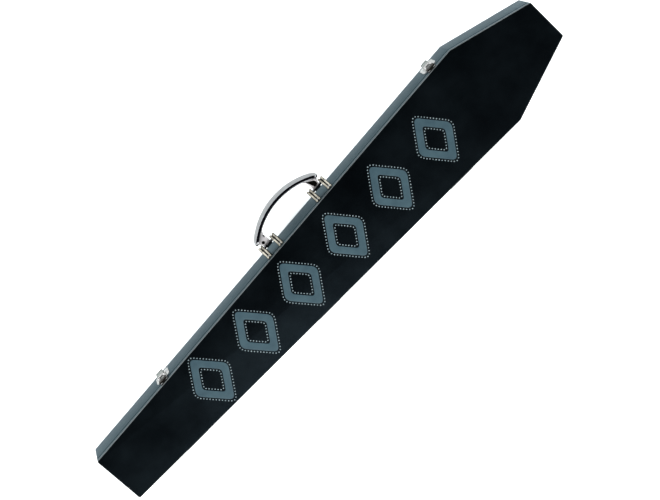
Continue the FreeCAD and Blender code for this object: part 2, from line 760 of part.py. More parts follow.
def kept_by(kept, label):
    """The kept sub-part of that name."""
    return next(piece for piece in kept if piece.Label == label)


def check(kept):
    """Stops if any object failed or any sub-part isn't a sound solid."""
    for piece in DOC.Objects:
        if {"Invalid", "Error"} & set(piece.State):
            raise RuntimeError(f"{piece.Label} did not build: {piece.State}")
    for piece in kept:
        shape = piece.Shape
        if shape.isNull() or not shape.isValid() or not shape.Solids:
            raise RuntimeError(f"{piece.Label} is not a sound solid")


def export(kept):
    """Writes one STEP file for each sub-part."""
    os.makedirs("parts", exist_ok=True)
    for piece in kept:
        piece.Shape.exportStep(os.path.join("parts", piece.Label + ".step"))


KEPT = build()
DOC.recompute()
check(KEPT)
export(KEPT)
print(f"{len(KEPT)} sub-parts")
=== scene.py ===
# %% [markdown]
# # A coffin-shaped hard cue case
# The case is a shallow box of thin boards in black leatherette. Its lid carries a row of
# applied diamonds, and one long wall carries two draw latches and a rigid plated handle.
# Every piece here is placed from the CAD frame, which is loaded first.

# %% Load the frame
import math

import bmesh
import bpy
from mathutils import Matrix, Vector, noise


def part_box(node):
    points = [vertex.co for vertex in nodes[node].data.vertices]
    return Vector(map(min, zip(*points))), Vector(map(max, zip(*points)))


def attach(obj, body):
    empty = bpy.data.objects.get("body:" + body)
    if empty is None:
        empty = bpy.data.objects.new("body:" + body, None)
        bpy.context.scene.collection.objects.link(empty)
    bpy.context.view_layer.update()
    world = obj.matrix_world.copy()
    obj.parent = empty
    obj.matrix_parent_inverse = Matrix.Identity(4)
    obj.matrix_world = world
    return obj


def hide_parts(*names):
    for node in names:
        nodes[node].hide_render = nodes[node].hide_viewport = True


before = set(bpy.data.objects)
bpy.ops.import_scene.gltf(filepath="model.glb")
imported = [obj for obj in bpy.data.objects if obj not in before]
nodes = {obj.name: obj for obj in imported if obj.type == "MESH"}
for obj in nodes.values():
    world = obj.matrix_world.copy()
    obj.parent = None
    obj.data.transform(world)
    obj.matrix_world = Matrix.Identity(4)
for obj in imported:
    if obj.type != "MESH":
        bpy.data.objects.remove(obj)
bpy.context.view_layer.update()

MM = 0.001

# %% [markdown]
# ## The camera
# The case is seen from above and a little towards its latch side, so the camera looks almost
# straight down. Three axes and a place are enough to set it, with a long lens for little distortion.

# %% Camera
camera_place = Vector((0.0514, 0.6552, 2.5014))
camera_right = Vector((0.6805, -0.7115, 0.1752)).normalized()
camera_back = camera_right.cross(Vector((0.7325, 0.6537, -0.1903))).normalized()
camera_up = camera_back.cross(camera_right)

camera_data = bpy.data.cameras.new("viewpoint")
camera_data.lens = 103.8
camera = bpy.data.objects.new("viewpoint", camera_data)
bpy.context.scene.collection.objects.link(camera)
camera_turn = Matrix((camera_right, camera_up, camera_back)).transposed().to_4x4()
camera.matrix_world = Matrix.Translation(camera_place) @ camera_turn
bpy.context.scene.camera = camera
print("camera is", round(camera_place.length, 2), "m from the case")

# %% [markdown]
# ## Small helpers
# A node tree is a few nodes joined by links, so one helper makes a node with its values set
# and its inputs joined. Sockets are named here by their labels or their numbers.

# %% Node helper
def add_node(tree, kind, values=(), links=(), **settings):
    """One node, with its settings, its input values and the sockets that feed it."""
    node = tree.nodes.new(kind)
    for name, value in settings.items():
        setattr(node, name, value)
    for socket, value in dict(values).items():
        node.inputs[socket].default_value = value
    for socket, source in dict(links).items():
        tree.links.new(source, node.inputs[socket])
    return node

# %% Piece helper
def add_piece(name, points, faces, *finishes):
    """A closed mesh from points and faces, with its faces turned outwards."""
    mesh = bpy.data.meshes.new(name)
    shape = bmesh.new()
    corners = [shape.verts.new(point) for point in points]
    for face in faces:
        shape.faces.new([corners[i] for i in face])
    bmesh.ops.remove_doubles(shape, verts=shape.verts, dist=1e-6)
    bmesh.ops.recalc_face_normals(shape, faces=shape.faces)
    shape.to_mesh(mesh)
    shape.free()
    return add_object(name, mesh, *finishes)


def add_object(name, mesh, *finishes):
    """An object at the origin that carries a mesh and its finishes."""
    piece = bpy.data.objects.new(name, mesh)
    bpy.context.scene.collection.objects.link(piece)
    mesh.materials.clear()
    for finish in finishes:
        mesh.materials.append(finish)
    return piece


def joined(ring_count, count, first=0, closed=False):
    """Faces between equal rings of points, one ring after another; closed joins the last to the first."""
    faces = []
    for r in range(ring_count if closed else ring_count - 1):
        low, high = first + r * count, first + (r + 1) % ring_count * count
        for i in range(count):
            j = (i + 1) % count
            faces.append([low + i, low + j, high + j, high + i])
    return faces


def loft(rings):
    """Faces that join equal rings and close both ends."""
    count = len(rings[0])
    ends = [list(range(count)), list(range((len(rings) - 1) * count, len(rings) * count))]
    return joined(len(rings), count) + ends


def flattened(rings):
    """The points of all the rings, in one list."""
    return [point for ring in rings for point in ring]


def applied(piece):
    """The piece with its modifiers worked into its mesh."""
    graph = bpy.context.evaluated_depsgraph_get()
    worked = bpy.data.meshes.new_from_object(piece.evaluated_get(graph))
    piece.modifiers.clear()
    piece.data = worked
    return piece


def shade(piece, degrees=35):
    """Smooth shading that keeps edges sharper than the angle crisp."""
    piece.data.polygons.foreach_set("use_smooth", [True] * len(piece.data.polygons))
    piece.data.set_sharp_from_angle(angle=math.radians(degrees))
    return piece


def settle(piece, body, slot, *stands_for):
    """Puts a piece on its body and hides what it stands for; slot is not used."""
    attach(piece, body)
    if stands_for:
        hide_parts(*stands_for)
    return piece

# %% [markdown]
# ## Where the walls are
# The case tapers, so its long walls aren't in line with X. The outline comes from the back
# cover's own corners. Fittings are then laid out by three numbers: how far along the latch wall,
# how far out of it, and how high.

# %% Outline and wall places
def outline_of(node):
    """The corners of a flat node's outline, anticlockwise."""
    spots = sorted({(round(v.co.x, 6), round(v.co.y, 6)) for v in nodes[node].data.vertices})
    rings = []
    for run in (spots, spots[::-1]):
        chain = []
        for spot in run:
            while len(chain) > 1 and turn(chain[-2], chain[-1], spot) <= 1e-9:
                chain.pop()
            chain.append(spot)
        rings += chain[:-1]
    return [Vector(spot) for spot in rings]


def turn(a, b, c):
    """Above zero where the path from a to b to c turns left."""
    return (b[0] - a[0]) * (c[1] - a[1]) - (b[1] - a[1]) * (c[0] - a[0])


outline = outline_of("base_back_cover")
foot_corner = min((c for c in outline if c.y > 0), key=lambda c: c.x)
shoulder_corner = max(outline, key=lambda c: c.y)
along = (shoulder_corner - foot_corner).normalized()
outward = Vector((-along.y, along.x))
print("outline corners", len(outline), "wall slope", round(math.degrees(math.atan2(along.y, along.x)), 3))


def on_wall(station, out, level, side=1):
    """A point by its place along a long wall, out of it and above the floor; side -1 is the hinge wall."""
    flat = foot_corner + along * station + outward * out
    return Vector((flat.x, side * flat.y, level))


def wall_box(node, side=1):
    """A node's lowest and highest station, distance out and level."""
    places = []
    for vertex in nodes[node].data.vertices:
        flat = Vector((vertex.co.x, side * vertex.co.y)) - foot_corner
        places.append((flat.dot(along), flat.dot(outward), vertex.co.z))
    return Vector(map(min, zip(*places))), Vector(map(max, zip(*places)))

# %% [markdown]
# ## Finishes
# Each finish is a small tree of nodes that reads Object coordinates, in metres, so its grain has
# a real size. Colour, roughness and bump all vary a little, as they do on a used case.

# %% Finish helper
def new_finish(name, **constants):
    """An empty finish: its material, its tree, its shader and its coordinates."""
    finish = bpy.data.materials.new(name)
    finish.use_nodes = True
    tree = finish.node_tree
    shader = tree.nodes["Principled BSDF"]
    for socket, value in constants.items():
        shader.inputs[socket.replace("_", " ")].default_value = value
    place = add_node(tree, "ShaderNodeTexCoord").outputs["Object"]
    return finish, tree, shader, place


def stretched(tree, place, scale):
    """Coordinates scaled by three numbers, to stretch a pattern."""
    return add_node(tree, "ShaderNodeMapping", {"Scale": scale}, {"Vector": place}).outputs[0]


def speckle(tree, place, scale, detail=3.0, roughness=0.5):
    """A noise pattern's value."""
    values = {"Scale": scale, "Detail": detail, "Roughness": roughness}
    return add_node(tree, "ShaderNodeTexNoise", values, {"Vector": place}).outputs[0]


def shades(tree, source, *stops):
    """A colour ramp; each stop is a position and a colour."""
    ramp = add_node(tree, "ShaderNodeValToRGB", (), {"Fac": source})
    stretch = ramp.color_ramp.elements
    while len(stretch) < len(stops):
        stretch.new(0.5)
    for element, (position, colour) in zip(stretch, stops):
        element.position = position
        element.color = (*colour, 1)
    return ramp.outputs[0]


def span(tree, source, low, high):
    """A value from 0 to 1 moved to the range from low to high."""
    return add_node(tree, "ShaderNodeMapRange", {"To Min": low, "To Max": high}, {"Value": source}).outputs[0]


def paint(tree, shader, colour, roughness=None):
    """Colour, and roughness if it varies, on the shader."""
    tree.links.new(colour, shader.inputs["Base Color"])
    if roughness is not None:
        tree.links.new(roughness, shader.inputs["Roughness"])


def bump(tree, shader, height, depth, strength=1.0):
    """Relief of that depth, in metres, on the shader."""
    relief = add_node(tree, "ShaderNodeBump", {"Strength": strength, "Distance": depth}, {"Height": height})
    tree.links.new(relief.outputs[0], shader.inputs["Normal"])


def add_up(tree, first, second, share):
    """One pattern plus a share of another."""
    scaled = add_node(tree, "ShaderNodeMath", {1: share}, {0: second}, operation="MULTIPLY").outputs[0]
    return add_node(tree, "ShaderNodeMath", (), {0: first, 1: scaled}, operation="ADD").outputs[0]

# %% [markdown]
# ### Leatherette
# The covering is vinyl pressed with a leather grain: small cells with creases between them, and
# fine lines that run across the walls. It is black, but its lacquered skin looks slate blue where it
# is seen at a low angle. A plain dielectric skin can't be tinted there, so the shader is set as a
# very dark metal, whose Specular Tint is the colour at low angles. A second, paler finish paints a
# highlight on the rounded outer edges, and a third, darker and duller one paints shade on the turned
# edges in the seam.

# %% Leatherette
def leatherette(name, dark, light, rough_low, rough_high, low_angle_tint, metallic=1.0):
    """Grained black vinyl between two shades."""
    finish, tree, shader, place = new_finish(name, Metallic=metallic, Specular_Tint=(*low_angle_tint, 1))
    cells = add_node(
        tree, "ShaderNodeTexVoronoi", {"Scale": 950.0}, {"Vector": place}, feature="DISTANCE_TO_EDGE"
    )
    creases = span(tree, cells.outputs["Distance"], 0.0, 2.2)
    brushed = speckle(tree, stretched(tree, place, (900, 900, 70)), 1.0, 2.0)
    cloudy = speckle(tree, place, 14.0, 4.0, 0.6)
    skin = add_up(tree, cloudy, brushed, 0.5)
    colour = shades(tree, skin, (0.45, dark), (1.0, light))
    paint(tree, shader, colour, span(tree, skin, rough_low, rough_high))
    bump(tree, shader, add_up(tree, creases, brushed, 0.7), 0.00006, 0.55)
    return finish


black_vinyl = leatherette(
    "black_leatherette", (0.004, 0.006, 0.008), (0.012, 0.018, 0.022), 0.30, 0.44, (0.67, 0.775, 0.825)
)
# The paler vinyl paints a highlight along the rounded outer edges.
edge_highlight_vinyl = leatherette(
    "edge_highlight_leatherette", (0.038, 0.046, 0.049), (0.090, 0.105, 0.108), 0.30, 0.42, (1, 1, 1), 0.0
)
# The darker, duller vinyl paints shade on the turned edges in the seam.
seam_shade_vinyl = leatherette(
    "seam_shade_leatherette", (0.0010, 0.0012, 0.0014), (0.0040, 0.0046, 0.0050), 0.70, 0.90, (0.2, 0.2, 0.2)
)
print("leatherette finishes made")

# %% [markdown]
# ### Applied diamonds and their studs
# The diamonds are slate-blue vinyl, smoother than the case, with a faint weave from their backing.
# Their outline is picked out by tiny pale studs.

# %% Applique finishes
def applique_vinyl():
    """Slate-blue vinyl with a fine weave."""
    finish, tree, shader, place = new_finish("slate_blue_vinyl", Specular_IOR_Level=0.35)
    threads = {"Scale": 420.0, "Distortion": 0.6}
    warp, weft = [
        add_node(tree, "ShaderNodeTexWave", threads, {"Vector": place}, bands_direction=axis).outputs["Fac"]
        for axis in "XY"
    ]
    weave = add_up(tree, warp, weft, 1.0)
    mottled = speckle(tree, place, 60.0, 4.0, 0.65)
    colour = shades(tree, mottled, (0.3, (0.024, 0.052, 0.068)), (0.75, (0.037, 0.076, 0.093)))
    paint(tree, shader, colour, span(tree, mottled, 0.42, 0.58))
    bump(tree, shader, weave, 0.00004, 0.5)
    return finish


def stud_enamel():
    """Pale grey-blue enamel, a little uneven."""
    finish, tree, shader, place = new_finish("pale_stud_enamel", Coat_Weight=0.4)
    colour = shades(tree, speckle(tree, place, 300.0), (0.3, (0.12, 0.18, 0.20)), (0.8, (0.22, 0.29, 0.31)))
    paint(tree, shader, colour, span(tree, speckle(tree, place, 500.0), 0.25, 0.45))
    return finish


applique_blue = applique_vinyl()
stud_pale = stud_enamel()
print("applique finishes made")

# %% [markdown]
# ### Plated metal
# The handle is bright chrome, the latches are nickel, and what is inside is plain steel. Each is the
# same idea: a metal with soft clouds in its roughness and hairline scratches in its relief.

# %% Metal finishes
def plated(name, dark, light, rough_low, rough_high, scratches, low_angle_tint=0.8):
    """Metal with cloudy polish and fine scratches."""
    tint = (low_angle_tint, low_angle_tint, low_angle_tint, 1)
    finish, tree, shader, place = new_finish(name, Metallic=1.0, Specular_Tint=tint)
    clouds = speckle(tree, place, 90.0, 4.0, 0.6)
    colour = shades(tree, clouds, (0.3, dark), (0.7, light))
    hairlines = speckle(tree, stretched(tree, place, (2600, 160, 160)), 1.0, 2.0)
    polish = add_up(tree, clouds, hairlines, 0.5)
    paint(tree, shader, colour, span(tree, polish, rough_low, rough_high))
    bump(tree, shader, hairlines, 0.00001, scratches)
    return finish


chrome = plated("bright_chrome", (0.26, 0.27, 0.28), (0.34, 0.35, 0.36), 0.02, 0.09, 0.08, 0.55)
nickel = plated("soft_nickel", (0.46, 0.45, 0.41), (0.60, 0.59, 0.54), 0.16, 0.34, 0.25)
satin = plated("satin_nickel", (0.24, 0.26, 0.25), (0.34, 0.36, 0.35), 0.34, 0.50, 0.35, 0.5)
steel = plated("plain_steel", (0.26, 0.27, 0.28), (0.40, 0.41, 0.42), 0.26, 0.46, 0.35)
print("metal finishes made")

# %% Cast silver, and near-black metal for painted shade
def cast_metal(name, dark, light, metallic):
    """The soft grey of a polished casting, partly a metal and partly a matt skin."""
    finish, tree, shader, place = new_finish(name, Metallic=metallic)
    clouds = speckle(tree, place, 120.0, 4.0, 0.6)
    colour = shades(tree, clouds, (0.3, dark), (0.75, light))
    paint(tree, shader, colour, span(tree, clouds, 0.34, 0.50))
    bump(tree, shader, speckle(tree, place, 1800.0), 0.00003, 0.3)
    return finish


def painted_shade_metal():
    """Near-black metal that paints shade in grooves, pockets and at the seam, with a little grime."""
    finish, tree, shader, place = new_finish("painted_shade_metal", Metallic=0.4, Specular_IOR_Level=0.2)
    grime = speckle(tree, place, 700.0, 4.0, 0.65)
    colour = shades(tree, grime, (0.35, (0.006, 0.006, 0.005)), (0.8, (0.030, 0.029, 0.024)))
    paint(tree, shader, colour, span(tree, grime, 0.5, 0.8))
    return finish


silver = cast_metal("cast_silver", (0.66, 0.64, 0.65), (0.82, 0.80, 0.81), 0.10)
warm_silver = cast_metal("warm_cast_silver", (0.27, 0.26, 0.21), (0.42, 0.40, 0.34), 0.45)
bright_nickel = cast_metal("bright_nickel", (0.26, 0.27, 0.27), (0.40, 0.41, 0.40), 0.60)
painted_shade_black = painted_shade_metal()
print("castings' finishes made")

# %% [markdown]
# ### Plush and board
# The bed and pad are covered in short charcoal plush, whose pile catches light at low angles: the
# shader's sheen does that. The boards under the covering are plain brown fibreboard.

# %% Plush and board finishes
def plush_pile():
    """Short charcoal pile with lighter strokes where it has been brushed."""
    finish, tree, shader, place = new_finish(
        "charcoal_plush", Specular_IOR_Level=0.1,
        Sheen_Weight=0.55, Sheen_Roughness=0.45, Sheen_Tint=(0.45, 0.52, 0.58, 1),
    )
    strokes = speckle(tree, stretched(tree, place, (22, 70, 70)), 1.0, 4.0, 0.6)
    pile = speckle(tree, place, 1400.0, 2.0)
    nap = add_up(tree, strokes, pile, 0.4)
    colour = shades(tree, nap, (0.4, (0.010, 0.012, 0.015)), (1.0, (0.040, 0.048, 0.056)))
    paint(tree, shader, colour, span(tree, strokes, 0.85, 1.0))
    bump(tree, shader, pile, 0.0004, 0.7)
    return finish


def fibreboard():
    """Brown board with fine flecks."""
    finish, tree, shader, place = new_finish("fibreboard", Roughness=0.85)
    flecks = speckle(tree, place, 700.0, 5.0, 0.7)
    paint(tree, shader, shades(tree, flecks, (0.3, (0.16, 0.10, 0.055)), (0.7, (0.30, 0.20, 0.12))))
    bump(tree, shader, speckle(tree, place, 1500.0), 0.0001, 0.4)
    return finish


plush = plush_pile()
board = fibreboard()
print("plush and board finishes made")

# %% [markdown]
# ## The covered shells
# Base and lid are each one wrapped tray: leatherette runs over the outside, turns over the rim and
# a little way down inside. A tray is a stack of outlines, each at its own inset and height, joined
# like the rings of a barrel. Extra rings round the folds, so no modifier is needed, and the ring at
# the outer fold can take the painted highlight finish by itself.

# %% Outlines moved inwards
def inset_outline(corners, inset, corner_round=0.0, steps=5):
    """The outline moved inwards, with its corners rounded when they have a radius left."""
    moved = []
    for i, corner in enumerate(corners):
        before = (corner - corners[i - 1]).normalized()
        after = (corners[(i + 1) % len(corners)] - corner).normalized()
        first, second = Vector((-before.y, before.x)), Vector((-after.y, after.x))
        spot = corner + (first + second) * inset / (1 + first.dot(second))
        if not corner_round:
            moved.append(spot)
            continue
        radius = max(corner_round - inset, 0.02 * MM)
        bend = before.angle_signed(after)
        centre = spot - before * radius * math.tan(abs(bend) / 2) + first * radius
        for k in range(steps + 1):
            spoke = -first.copy()
            spoke.rotate(Matrix.Rotation(abs(bend) * k / steps, 2))
            moved.append(centre + spoke * radius)
    return moved


def fold(radius, level, upwards, quarter, steps=5):
    """Rings round a fold, as (inset, level): "face" runs from the face to the wall, "rim" the other way."""
    rings = []
    for k in range(steps + 1):
        angle = math.pi / 2 * k / steps
        sine, cosine = math.sin(angle), math.cos(angle)
        if quarter == "face":
            rings.append((radius * (1 - sine), level + upwards * radius * (1 - cosine)))
        else:
            rings.append((radius * (1 - cosine), level + upwards * radius * (sine - 1)))
    return rings


def covered_tray(name, rings, highlight_count, wall_count, corner_round):
    """A closed tray from (inset, level) rings: bands with a painted highlight, then the wall, then the turned
    edge in painted seam shade.
    """
    stack = [
        [(c.x, c.y, level) for c in inset_outline(outline, inset, corner_round)] for inset, level in rings
    ]
    tray = add_piece(name, flattened(stack), loft(stack), black_vinyl, edge_highlight_vinyl, seam_shade_vinyl)
    for face in tray.data.polygons:
        band_of_face = face.index // len(stack[0])
        # The outer fold's bands take the painted highlight; the turned edge takes the painted seam shade.
        if band_of_face < highlight_count:
            face.material_index = 1
        elif band_of_face >= highlight_count + wall_count and face.index < len(tray.data.polygons) - 2:
            face.material_index = 2
    return shade(tray, 30)

# %% Base and lid shells
cover_thick = 0.8 * MM
rail_inside = cover_thick + 5.0 * MM
turned_in = rail_inside + 0.35 * MM
hairline = 0.1 * MM
corner_round = 2.2 * MM
edge_round = 0.75 * MM
rim_round = 1.5 * MM
base_turn = 9 * MM
lid_turn = 2 * MM
base_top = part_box("base_side_cover")[1].z
lid_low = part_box("lid_side_cover")[0].z
lid_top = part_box("lid_front_cover")[1].z
pad_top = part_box("lid_pad")[1].z

base_rings = fold(edge_round, 0, 1, "face") + fold(rim_round, base_top + hairline, 1, "rim") + [
    (turned_in, base_top + hairline), (turned_in, base_top - base_turn),
    (rail_inside + hairline / 4, base_top - base_turn), (rail_inside + hairline / 4, base_top + hairline / 4),
    (cover_thick, base_top + hairline / 4), (cover_thick, cover_thick),
]
base_shell = covered_tray("base_shell", base_rings, 5, 2, corner_round)
settle(base_shell, "case", "leatherette", "base_side_cover", "base_back_cover")

lid_rings = fold(edge_round, lid_top, -1, "face") + fold(rim_round, lid_low - hairline, -1, "rim") + [
    (turned_in, lid_low - hairline), (turned_in, pad_top - lid_turn),
    (rail_inside + hairline / 4, pad_top - lid_turn), (rail_inside + hairline / 4, lid_low - hairline / 4),
    (cover_thick, lid_low - hairline / 4), (cover_thick, lid_top - cover_thick),
]
lid_shell = covered_tray("lid_shell", lid_rings, 5, 2, corner_round)
settle(lid_shell, "lid", "leatherette", "lid_side_cover", "lid_front_cover")
print("base rim at", round(base_top, 4), "lid front at", round(lid_top, 4))
print("shell faces", len(base_shell.data.polygons), len(lid_shell.data.polygons))

# %% [markdown]
# ## The applied diamonds
# Each ring is one strip of vinyl round a diamond. Its section is a low rounded band, so light breaks
# along its edges. The diamonds' places and sizes come from the CAD rings: their islands are found,
# and each is redrawn with slightly rounded corners.

# %% Find separate islands in a node
def islands(node):
    """The separate solids in a node, each as a list of its points."""
    shape = bmesh.new()
    shape.from_mesh(nodes[node].data)
    bmesh.ops.remove_doubles(shape, verts=shape.verts, dist=1e-6)
    waiting, found = set(shape.verts), []
    while waiting:
        patch = [waiting.pop()]
        for vertex in patch:
            for edge in vertex.link_edges:
                other = edge.other_vert(vertex)
                if other in waiting:
                    waiting.remove(other)
                    patch.append(other)
        found.append([vertex.co.copy() for vertex in patch])
    shape.free()
    return sorted(found, key=lambda patch: [round(min(axis), 6) for axis in zip(*patch)])


def middle(patch):
    """The middle of a set of points' box."""
    return Vector([(min(axis) + max(axis)) / 2 for axis in zip(*patch)])


diamonds = [(middle(patch), patch) for patch in islands("lid_appliques")]
on_axis = 0.1 * MM
centre, patch = diamonds[0]
half_long = max(p.x for p in patch) - centre.x
half_wide = max(p.y for p in patch) - centre.y
hole_long = min(abs(p.x - centre.x) for p in patch if abs(p.y) < on_axis)
hole_wide = min(abs(p.y) for p in patch if abs(p.x - centre.x) < on_axis)
print("diamonds", len(diamonds), "outer", round(half_long, 4), round(half_wide, 4))
print("hole", round(hole_long, 4), round(hole_wide, 4))

# %% Draw a rounded diamond
def rounded_diamond(middle_x, half_x, half_y, corner=0.16, steps=5):
    """A diamond's outline with its corners eased: corner is the share of each side that is curved."""
    tips = [Vector((half_x, 0)), Vector((0, half_y)), Vector((-half_x, 0)), Vector((0, -half_y))]
    line = []
    for i, tip in enumerate(tips):
        start = tip.lerp(tips[i - 1], corner)
        end = tip.lerp(tips[(i + 1) % 4], corner)
        for k in range(steps + 1):
            t = k / steps
            line.append(start.lerp(tip, t).lerp(tip.lerp(end, t), t) + Vector((middle_x, 0)))
    return line


# share of the way across the band, and share of its height
band_sections = [
    (0.0, 0.0), (0.0, 0.55), (0.06, 0.9), (0.16, 1.0), (0.84, 1.0), (0.94, 0.9), (1.0, 0.55), (1.0, 0.0),
]
band_low, band_high = [corner.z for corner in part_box("lid_appliques")]
points, faces = [], []
for centre, patch in diamonds:
    outer = rounded_diamond(centre.x, half_long, half_wide)
    inner = rounded_diamond(centre.x, hole_long, hole_wide)
    first, count = len(points), len(outer)
    for share, lift in band_sections:
        level = band_low - hairline / 2 + (band_high - band_low + hairline / 2) * lift
        points += [(*a.lerp(b, share), level) for a, b in zip(outer, inner)]
    faces += joined(len(band_sections), count, first, closed=True)
lid_diamonds = shade(add_piece("lid_diamonds", points, faces, applique_blue), 50)
settle(lid_diamonds, "lid", "applique", "lid_appliques")
print("diamond faces", len(faces))

# %% [markdown]
# ### Studs round the diamonds
# Hundreds of like studs follow the rings' edges, which is work for Geometry Nodes: the edges go in as
# bare lines, are cut into even steps, and a small dome is set at each. The result is made a plain mesh.

# %% Geometry Nodes helpers
def new_tree(name, **inputs):
    """A geometry tree with a geometry input and named number, vector or material inputs."""
    tree = bpy.data.node_groups.new(name, "GeometryNodeTree")
    tree.interface.new_socket("Geometry", in_out="OUTPUT", socket_type="NodeSocketGeometry")
    tree.interface.new_socket("Geometry", in_out="INPUT", socket_type="NodeSocketGeometry")
    kinds = {float: "NodeSocketFloat", Vector: "NodeSocketVector", bpy.types.Material: "NodeSocketMaterial"}
    for label, value in inputs.items():
        tree.interface.new_socket(label, in_out="INPUT", socket_type=kinds[type(value)])
    return tree, tree.nodes.new("NodeGroupInput").outputs


def finish_tree(tree, geometry, material):
    """Ends a tree as real, painted faces."""
    real = add_node(tree, "GeometryNodeRealizeInstances", (), {0: geometry}).outputs[0]
    painted = add_node(tree, "GeometryNodeSetMaterial", (), {"Geometry": real, "Material": material})
    add_node(tree, "NodeGroupOutput", (), {0: painted.outputs[0]})


def run_tree(name, tree, mesh, **inputs):
    """Runs a tree on a mesh and returns the result as a plain piece."""
    carrier = add_object(name + "_lines", mesh)
    modifier = carrier.modifiers.new(name, "NODES")
    modifier.node_group = tree
    sockets = {s.name: s.identifier for s in tree.interface.items_tree if s.in_out == "INPUT"}
    for label, value in inputs.items():
        modifier[sockets[label]] = value
    graph = bpy.context.evaluated_depsgraph_get()
    made = bpy.data.meshes.new_from_object(carrier.evaluated_get(graph))
    bpy.data.objects.remove(carrier)
    made.name = name
    piece = bpy.data.objects.new(name, made)
    bpy.context.scene.collection.objects.link(piece)
    return shade(piece, 60)

# %% Stud tree
stud_tree, given = new_tree("studs_along_lines", Spacing=1.0, Size=Vector(), Finish=stud_pale)
line = add_node(stud_tree, "GeometryNodeMeshToCurve", (), {"Mesh": given["Geometry"]})
spaced = {"Curve": line.outputs[0], "Length": given["Spacing"]}
steps = add_node(stud_tree, "GeometryNodeResampleCurve", (), spaced, mode="LENGTH")
dome = add_node(stud_tree, "GeometryNodeMeshIcoSphere", {"Radius": 1.0, "Subdivisions": 2})
studs = add_node(stud_tree, "GeometryNodeInstanceOnPoints", (), {
    "Points": steps.outputs[0], "Instance": dome.outputs[0], "Scale": given["Size"],
})
finish_tree(stud_tree, studs.outputs[0], given["Finish"])

stud_gap = 2.3 * MM
stud_spacing = 4.2 * MM
stud_size = Vector((0.86, 0.86, 0.40)) * MM
stud_lines = bpy.data.meshes.new("stud_lines")
points, edges = [], []
for centre, patch in diamonds:
    for reach, half_x, half_y in ((stud_gap, half_long, half_wide), (-stud_gap, hole_long, hole_wide)):
        slant = math.hypot(half_x, half_y) / (half_x * half_y) * reach
        ring = rounded_diamond(centre.x, half_x * (1 + slant), half_y * (1 + slant))
        first, count = len(points), len(ring)
        points += [(*spot, band_low) for spot in ring]
        edges += [(first + i, first + (i + 1) % count) for i in range(count)]
stud_lines.from_pydata(points, edges, [])
lid_studs = run_tree(
    "lid_studs", stud_tree, stud_lines, Spacing=stud_spacing, Size=stud_size, Finish=stud_pale
)
settle(lid_studs, "lid", "applique")
print("stud faces", len(lid_studs.data.polygons))

# %% [markdown]
# ## Rounded copies of the metal parts
# The latches and hinges already have the right shape in CAD, but their edges are knife sharp, and a
# sharp edge catches no light. A copy of each is merged into one skin, its flat faces are joined, and
# a narrow Bevel rounds its edges. The copy then stands for the CAD node.

# %% Rounded copy helper
def rounded_copy(node, finish, width, body, slot, segments=2, sharp=40):
    """A merged copy of a node with its edges rounded."""
    mesh = nodes[node].data.copy()
    shape = bmesh.new()
    shape.from_mesh(mesh)
    bmesh.ops.remove_doubles(shape, verts=shape.verts, dist=2e-6)
    bmesh.ops.dissolve_limit(shape, angle_limit=math.radians(1), verts=shape.verts, edges=shape.edges)
    shape.to_mesh(mesh)
    shape.free()
    piece = add_object(node + "_rounded", mesh, finish)
    edge = piece.modifiers.new("rounded_edges", "BEVEL")
    edge.limit_method = "ANGLE"
    edge.angle_limit = math.radians(sharp)
    edge.width = width
    edge.segments = segments
    shade(piece, 35)
    return settle(piece, body, slot, node)

# %% Latches
hook_plate_low = 43.6 * MM
lever_shoulder = 34.0 * MM
for end in ("foot", "head"):
    rounded_copy(f"{end}_latch_plate", bright_nickel, 0.45 * MM, "case", "nickel", 3, 60)
    lever = rounded_copy(f"{end}_latch_lever", satin, 0.45 * MM, f"{end}_lever", "nickel", 3)
    # The lever's faces that look up, above its shoulder, take the pale cast silver: a painted highlight.
    lever.data.materials.append(silver)
    for face in lever.data.polygons:
        face.material_index = int(face.center.z > lever_shoulder and face.normal.z > 0.5)
    hook = rounded_copy(f"{end}_latch_hook", bright_nickel, 0.22 * MM, f"{end}_hook", "nickel")
    # The hook's plate, above hook_plate_low, is painted near-black: painted shade at the seam.
    hook.data.materials.append(painted_shade_black)
    for face in hook.data.polygons:
        face.material_index = int(face.center.z > hook_plate_low)
    # The strike is painted near-black all over: painted shade at the seam.
    rounded_copy(f"{end}_latch_strike", painted_shade_black, 0.2 * MM, "lid", "nickel")
    rounded_copy(f"{end}_latch_link_pin", nickel, 0.15 * MM, f"{end}_lever", "nickel")
    rounded_copy(f"{end}_latch_pivots", steel, 0.1 * MM, "case", "steel")
print("latches rounded")

# %% Hinges
for name in ("foot", "middle", "head"):
    rounded_copy(f"{name}_hinge_base_leaf", nickel, 0.15 * MM, "case", "nickel")
    rounded_copy(f"{name}_hinge_lid_leaf", nickel, 0.15 * MM, "lid", "nickel")
    rounded_copy(f"{name}_hinge_pin", steel, 0.12 * MM, "case", "steel")
print("hinges rounded")

# %% [markdown]
# ## Screws and rivets
# Their heads repeat, so Geometry Nodes sets one on each CAD fastener. A head is a flattened ball; a
# screw's has a cross cut into it by a Boolean with two thin bars. Facing turns them out of the wall.

